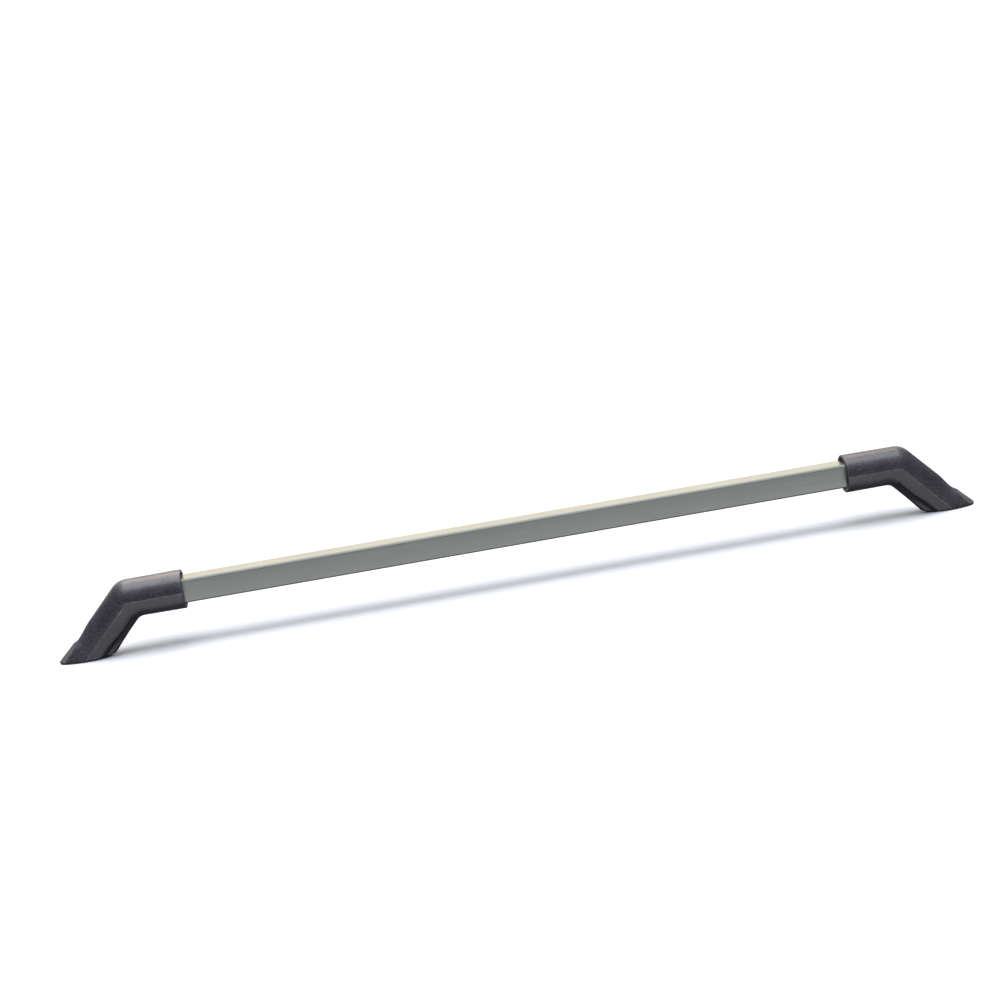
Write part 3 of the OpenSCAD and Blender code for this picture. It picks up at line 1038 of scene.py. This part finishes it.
def anodised_aluminium():
    """Satin anodised aluminium with fine drawing lines along the bar."""
    material, tree, shader, coords = new_material("anodised_aluminium")
    lines = noise(tree, stretched(tree, coords, (0.012, 1.0, 1.0)), 0.0009, 3.0, 0.6)
    bands = noise(tree, stretched(tree, coords, (0.05, 1.0, 1.0)), 0.009, 2.0, 0.5)
    cloud = noise(tree, coords, 0.12, 2.0, 0.5)
    tone = mix(tree, 0.5, ramp(tree, lines, ALUMINIUM_LINES), ramp(tree, bands, ALUMINIUM_BANDS))
    clouded = mix(tree, spread(tree, cloud, 0.35, 0.65, 0.0, 0.35), tone, ALUMINIUM_CLOUD)
    rough = combine(tree, "ADD", spread(tree, lines, 0.3, 0.7, 0.31, 0.37),
                    spread(tree, cloud, 0.35, 0.65, -0.01, 0.03))
    connect(tree, shader, {"Base Color": clouded, "Metallic": 1.0, "Roughness": rough})
    bump(tree, shader, (lines, 0.000012), (bands, 0.00002))
    return material


def matt_rubber():
    """Black rubber with a fine open texture and a dusting on its high spots."""
    material, tree, shader, coords = new_material("matt_rubber")
    grain = noise(tree, coords, 0.0008, 3.0, 0.7)
    dust = noise(tree, coords, 0.012, 4.0, 0.6)
    connect(tree, shader, {"Base Color": ramp(tree, dust, RUBBER),
                           "Roughness": spread(tree, grain, 0.3, 0.7, 0.72, 0.90)})
    bump(tree, shader, (grain, 0.00008))
    return material


def plug_nylon():
    """Dull black nylon with a spark-eroded texture."""
    material, tree, shader, coords = new_material("plug_nylon")
    grain = noise(tree, coords, 0.0007, 3.0, 0.6)
    blotch = noise(tree, coords, 0.010, 3.0, 0.5)
    connect(tree, shader, {"Base Color": ramp(tree, blotch, NYLON),
                           "Roughness": spread(tree, grain, 0.3, 0.7, 0.50, 0.62)})
    bump(tree, shader, (grain, 0.00006))
    return material


def plated_metal(name, tones, rough_low, rough_high, crystal):
    """A plated metal: crystal spangle of the given size, tarnish and fine scratches."""
    material, tree, shader, coords = new_material(name)
    spangle = red_of(tree, spots(tree, coords, crystal)["Color"])
    tarnish = noise(tree, coords, 0.004, 4.0, 0.6)
    blend = combine(tree, "ADD", times(tree, spangle, 0.35), times(tree, tarnish, 0.65))
    scratches = noise(tree, stretched(tree, coords, (0.2, 1.0, 1.0)), 0.0004, 2.0, 0.6)
    connect(tree, shader, {"Base Color": ramp(tree, blend, tones), "Metallic": 1.0,
                           "Roughness": spread(tree, scratches, 0.3, 0.7, rough_low, rough_high)})
    bump(tree, shader, (scratches, 0.00001))
    return material


def zinc_plate():
    """Bright zinc with a coarse spangle."""
    return plated_metal("zinc_plated_steel", ZINC_TONES, 0.30, 0.42, 0.0018)


def screw_plate():
    """Smoother plating with a fine spangle."""
    return plated_metal("plated_screw_steel", SCREW_TONES, 0.22, 0.32, 0.0009)


def insert_brass():
    """Turned brass."""
    return plated_metal("turned_brass", BRASS_TONES, 0.24, 0.36, 0.0012)


# ---- Putting the pieces in place ----

def finish_piece(obj, material, node):
    """Gives a new piece its material and its place in the model."""
    obj.data.materials.clear()
    obj.data.materials.append(material)
    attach(obj, "root")
    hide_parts(node)


def mirrored(points, faces, side):
    """The right-hand points and faces, or their mirror image for the left."""
    if side > 0:
        return points, faces
    return points * np.array([-1.0, 1.0, 1.0]), faces[:, ::-1]


def place_pair(mesh, piece, node, material):
    """A right-hand mesh and its mirror image, as a piece of each end."""
    for label, side in SIDES.items():
        obj = mesh_object(f"{label}_{piece}", *mirrored(*mesh, side))
        finish_piece(obj, material, f"{label}_{node}")


def place_fasteners(steel, zinc, brass):
    """The tube screws, their washers and the feet's inserts."""
    for label, side in SIDES.items():
        for place, x in zip(("inner", "outer"), SCREW_XS):
            screw = make_screw(f"{label}_{place}_button_screw", side * x)
            finish_piece(screw, steel, f"{label}_{place}_bar_screw")
            washer = make_washer(f"{label}_{place}_flat_washer", side * x)
            finish_piece(washer, zinc, f"{label}_{place}_washer")
        for place, x in zip(("heel", "toe"), INSERT_XS):
            insert = make_insert(f"{label}_{place}_brass_insert", side * x)
            finish_piece(insert, brass, f"{label}_{place}_insert")


def dress_cad_nodes(nodes, material):
    """A procedural material for CAD nodes that keep their shape."""
    for name in nodes:
        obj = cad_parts[name]
        obj.data.materials.clear()
        obj.data.materials.append(material)


place_pair(fitting_mesh(), "fitting", "end_fitting", moulded_plastic())
BAR = make_bar()
finish_piece(BAR, anodised_aluminium(), "bar_tube")
place_pair(pad_mesh(), "rubber_pad", "foot_pad", matt_rubber())
ZINC = zinc_plate()
place_fasteners(screw_plate(), ZINC, insert_brass())
dress_cad_nodes([f"{label}_nut_plate" for label in SIDES], ZINC)
dress_cad_nodes([f"{label}_tube_plug" for label in SIDES], plug_nylon())


# ---- Floor, light and camera ----

FLOOR_HALF = 60.0
FLOOR_SEEN = (0.80, 0.80, 0.82)
# The floor's colour for bounce and reflections, from the front of the stage to its back: painted
# light that fades towards the front, and a painted shadow in the dark band under the bar
FLOOR_PAINTED_BOUNCE = [(0.10, (0.08, 0.08, 0.085)), (0.27, (0.170, 0.172, 0.168)),
               (0.36, (0.322, 0.322, 0.310)), (0.43, (0.45, 0.44, 0.42)),
               (0.475, (0.07, 0.07, 0.07)), (0.525, (0.07, 0.07, 0.07)),
               (0.62, (0.42, 0.40, 0.36))]
# The surround from straight down to straight up, behind the bar and in front of it
BACK_STOPS = [(0.0, (0.3, 0.3, 0.3)), (0.50, (1.33, 1.19, 0.97)), (0.64, (1.27, 1.17, 0.99)),
              (0.80, (1.06, 1.02, 0.92)), (1.0, (0.62, 0.66, 0.70))]
FRONT_STOPS = [(0.0, (0.3, 0.3, 0.3)), (0.50, (0.09, 0.09, 0.10)), (0.58, (0.10, 0.105, 0.115)),
               (0.70, (0.30, 0.32, 0.34)), (0.80, (0.60, 0.64, 0.68)), (1.0, (0.62, 0.66, 0.69))]
BACKDROP = (1.0, 1.0, 1.0, 1.0)
CAMERA_TURN = math.radians(-4.35)
CAMERA_RISE = math.radians(15.33)
CAMERA_ROLL = math.radians(8.75)
CAMERA_DISTANCE = 2.654
CAMERA_TARGET = Vector((0.0, 0.0, 0.060))
CAMERA_SENSOR = 36.0
CAMERA_LENS = 60.68
CAMERA_SHIFT = (-0.0208, 0.0461)
CAMERA_CLIP = 300.0


def floor_material():
    """Pale from above, with painted light and a painted shadow under the bar in what it bounces,
    and clear from below.
    """
    material, tree, shader, coords = new_material("pale_floor")
    depth = spread(tree, axes(tree, coords)[1], -1.0, 1.0)
    painted_bounce = ramp(tree, depth, FLOOR_PAINTED_BOUNCE)
    seen = add(tree, "LightPath", {}).outputs["Is Camera Ray"]
    connect(tree, shader, {"Base Color": mix(tree, seen, painted_bounce, FLOOR_SEEN), "Roughness": 1.0,
                           "Specular IOR Level": 0.0})
    clear = add(tree, "BsdfTransparent", {}).outputs["BSDF"]
    below = add(tree, "NewGeometry", {}).outputs["Backfacing"]
    surface = choose(tree, below, shader.outputs["BSDF"], clear)
    connect(tree, tree.nodes["Material Output"], {"Surface": surface})
    return material


def pale_floor():
    """A wide level floor."""
    corners = ((-1, -1), (1, -1), (1, 1), (-1, 1))
    mesh = bpy.data.meshes.new("floor")
    mesh.from_pydata([(x * FLOOR_HALF, y * FLOOR_HALF, 0.0) for x, y in corners], [], [range(4)])
    mesh.materials.append(floor_material())
    floor = bpy.data.objects.new("floor", mesh)
    bpy.context.scene.collection.objects.link(floor)
    return floor


def studio_world():
    """A pale backdrop for the camera, and a soft studio for the object to reflect."""
    world = bpy.data.worlds.new("studio")
    bpy.context.scene.world = world
    world.use_nodes = True
    tree = world.node_tree
    tree.nodes.clear()
    x, y, z = axes(tree, add(tree, "TexCoord", {}).outputs["Generated"])
    height = spread(tree, z, -1.0, 1.0)
    behind = spread(tree, combine(tree, "SUBTRACT", y, size_of(tree, x)), 0.0, 0.3)
    surround = mix(tree, behind, ramp(tree, height, FRONT_STOPS), ramp(tree, height, BACK_STOPS))
    studio = add(tree, "Background", {"Color": surround}).outputs["Background"]
    backdrop = add(tree, "Background", {"Color": BACKDROP}).outputs["Background"]
    seen = add(tree, "LightPath", {}).outputs["Is Camera Ray"]
    add(tree, "OutputWorld", {"Surface": choose(tree, seen, studio, backdrop)})


def kept_out(name, objects):
    """A collection that leaves these objects out of a lamp's light or its shadows."""
    collection = bpy.data.collections.new(name)
    for obj in objects:
        collection.objects.link(obj)
    for entry in collection.collection_objects:
        entry.light_linking.link_state = "EXCLUDE"
    return collection


def softbox(name, azimuth, elevation, spread_angle, strength, colour, flagged):
    """A large soft light far away, kept off the flagged pieces; azimuth 0 is behind the bar."""
    data = bpy.data.lights.new(name, "SUN")
    data.angle = math.radians(spread_angle)
    data.energy = strength
    data.color = colour
    lamp = bpy.data.objects.new(name, data)
    around, rise = math.radians(azimuth), math.radians(elevation)
    towards = Vector((math.sin(around) * math.cos(rise), math.cos(around) * math.cos(rise),
                      math.sin(rise)))
    lamp.rotation_euler = towards.to_track_quat("Z", "Y").to_euler()
    bpy.context.scene.collection.objects.link(lamp)
    lamp.light_linking.receiver_collection = kept_out(name + "_flags", flagged)
    return lamp


def studio_camera():
    """The camera: turned a little to the left, 15 degrees above the bar and rolled."""
    back = Vector((math.sin(CAMERA_TURN) * math.cos(CAMERA_RISE),
                   -math.cos(CAMERA_TURN) * math.cos(CAMERA_RISE), math.sin(CAMERA_RISE)))
    right = Vector((0.0, 0.0, 1.0)).cross(back).normalized()
    up = back.cross(right)
    rolled_right = right * math.cos(CAMERA_ROLL) - up * math.sin(CAMERA_ROLL)
    rolled_up = right * math.sin(CAMERA_ROLL) + up * math.cos(CAMERA_ROLL)
    data = bpy.data.cameras.new("camera")
    data.sensor_width = CAMERA_SENSOR
    data.lens = CAMERA_LENS
    data.shift_x, data.shift_y = CAMERA_SHIFT
    data.clip_end = CAMERA_CLIP
    camera = bpy.data.objects.new("camera", data)
    turned = Matrix((rolled_right, rolled_up, back)).transposed().to_4x4()
    camera.matrix_world = Matrix.Translation(CAMERA_TARGET + back * CAMERA_DISTANCE) @ turned
    bpy.context.scene.collection.objects.link(camera)
    bpy.context.scene.camera = camera


FLOOR = pale_floor()
studio_world()
# Their direct light is kept off the bar, whose polished corners would show it as white lines
softbox("rear_softbox", azimuth=0.0, elevation=55.0, spread_angle=38.0, strength=2.1,
        colour=(1.0, 0.91, 0.82), flagged=[BAR, FLOOR])
softbox("overhead_softbox", azimuth=180.0, elevation=85.0, spread_angle=48.0, strength=2.9,
        colour=(0.95, 0.97, 1.04), flagged=[BAR])
LOW_CARD = softbox("low_card", azimuth=180.0, elevation=-46.0, spread_angle=60.0, strength=0.86,
                   colour=(0.98, 0.95, 1.05), flagged=[BAR, FLOOR])
LOW_CARD.light_linking.blocker_collection = kept_out("low_card_clear_of", [FLOOR])
studio_camera()
bpy.context.scene.view_settings.view_transform = "Standard"
